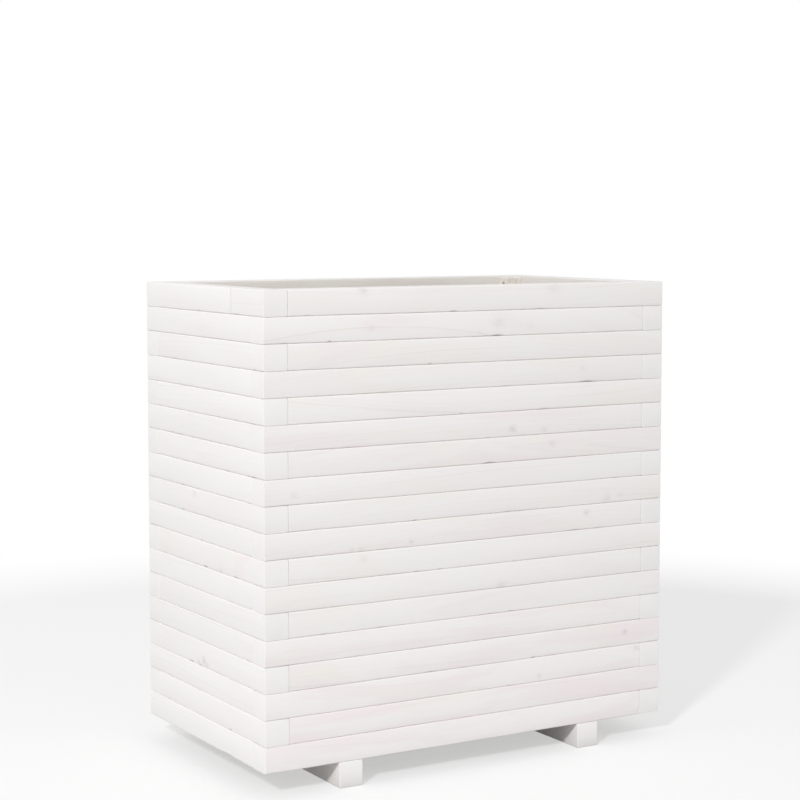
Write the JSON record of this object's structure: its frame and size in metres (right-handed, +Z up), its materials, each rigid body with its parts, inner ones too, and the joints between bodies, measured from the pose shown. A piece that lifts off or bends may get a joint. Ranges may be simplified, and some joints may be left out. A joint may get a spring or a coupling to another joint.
{
  "type": "wooden planter",
  "caption": "Tall rectangular planter of stacked whitewashed square battens with lapped corners, inner corner posts, a slatted floor and two runner feet.",
  "frame": {"origin": "on the ground, under the middle of the planter", "axes": "+Z up, -Y out of the long front face, +X to the right of someone facing the front"},
  "size_m": [0.7, 0.4, 0.722],
  "materials": {
    "whitewashed_pine": "thin matt white wash over planed pine, the grain and the knots showing faintly through",
    "washed_sawn_pine": "sawn pine with a thinner coat of the same white wash, more of the wood showing",
    "zinc_screw": "zinc-plated steel, satin"
  },
  "bodies": {
    "root": {"course_01_front_back_battens": "whitewashed_pine", "course_01_side_battens": "whitewashed_pine", "course_02_front_back_battens": "whitewashed_pine", "course_02_side_battens": "whitewashed_pine", "course_03_front_back_battens": "whitewashed_pine", "course_03_side_battens": "whitewashed_pine", "course_04_front_back_battens": "whitewashed_pine", "course_04_side_battens": "whitewashed_pine", "course_05_front_back_battens": "whitewashed_pine", "course_05_side_battens": "whitewashed_pine", "course_06_front_back_battens": "whitewashed_pine", "course_06_side_battens": "whitewashed_pine", "course_07_front_back_battens": "whitewashed_pine", "course_07_side_battens": "whitewashed_pine", "course_08_front_back_battens": "whitewashed_pine", "course_08_side_battens": "whitewashed_pine", "course_09_front_back_battens": "whitewashed_pine", "course_09_side_battens": "whitewashed_pine", "course_10_front_back_battens": "whitewashed_pine", "course_10_side_battens": "whitewashed_pine", "course_11_front_back_battens": "whitewashed_pine", "course_11_side_battens": "whitewashed_pine", "course_12_front_back_battens": "whitewashed_pine", "course_12_side_battens": "whitewashed_pine", "course_13_front_back_battens": "whitewashed_pine", "course_13_side_battens": "whitewashed_pine", "course_14_front_back_battens": "whitewashed_pine", "course_14_side_battens": "whitewashed_pine", "course_15_front_back_battens": "whitewashed_pine", "course_15_side_battens": "whitewashed_pine", "course_16_front_back_battens": "whitewashed_pine", "course_16_side_battens": "whitewashed_pine", "course_17_front_back_battens": "whitewashed_pine", "course_17_side_battens": "whitewashed_pine", "course_18_front_back_battens": "whitewashed_pine", "course_18_side_battens": "whitewashed_pine", "front_left_post": "washed_sawn_pine", "front_left_post_screws": "zinc_screw", "front_right_post": "washed_sawn_pine", "front_right_post_screws": "zinc_screw", "back_left_post": "washed_sawn_pine", "back_left_post_screws": "zinc_screw", "back_right_post": "washed_sawn_pine", "back_right_post_screws": "zinc_screw", "left_foot": "whitewashed_pine", "right_foot": "whitewashed_pine", "floor_slat_1": "washed_sawn_pine", "floor_slat_2": "washed_sawn_pine", "floor_slat_3": "washed_sawn_pine", "floor_slat_4": "washed_sawn_pine", "floor_slat_5": "washed_sawn_pine", "floor_slat_screws": "zinc_screw", "foot_screws": "zinc_screw"}
  },
  "joints": []
}
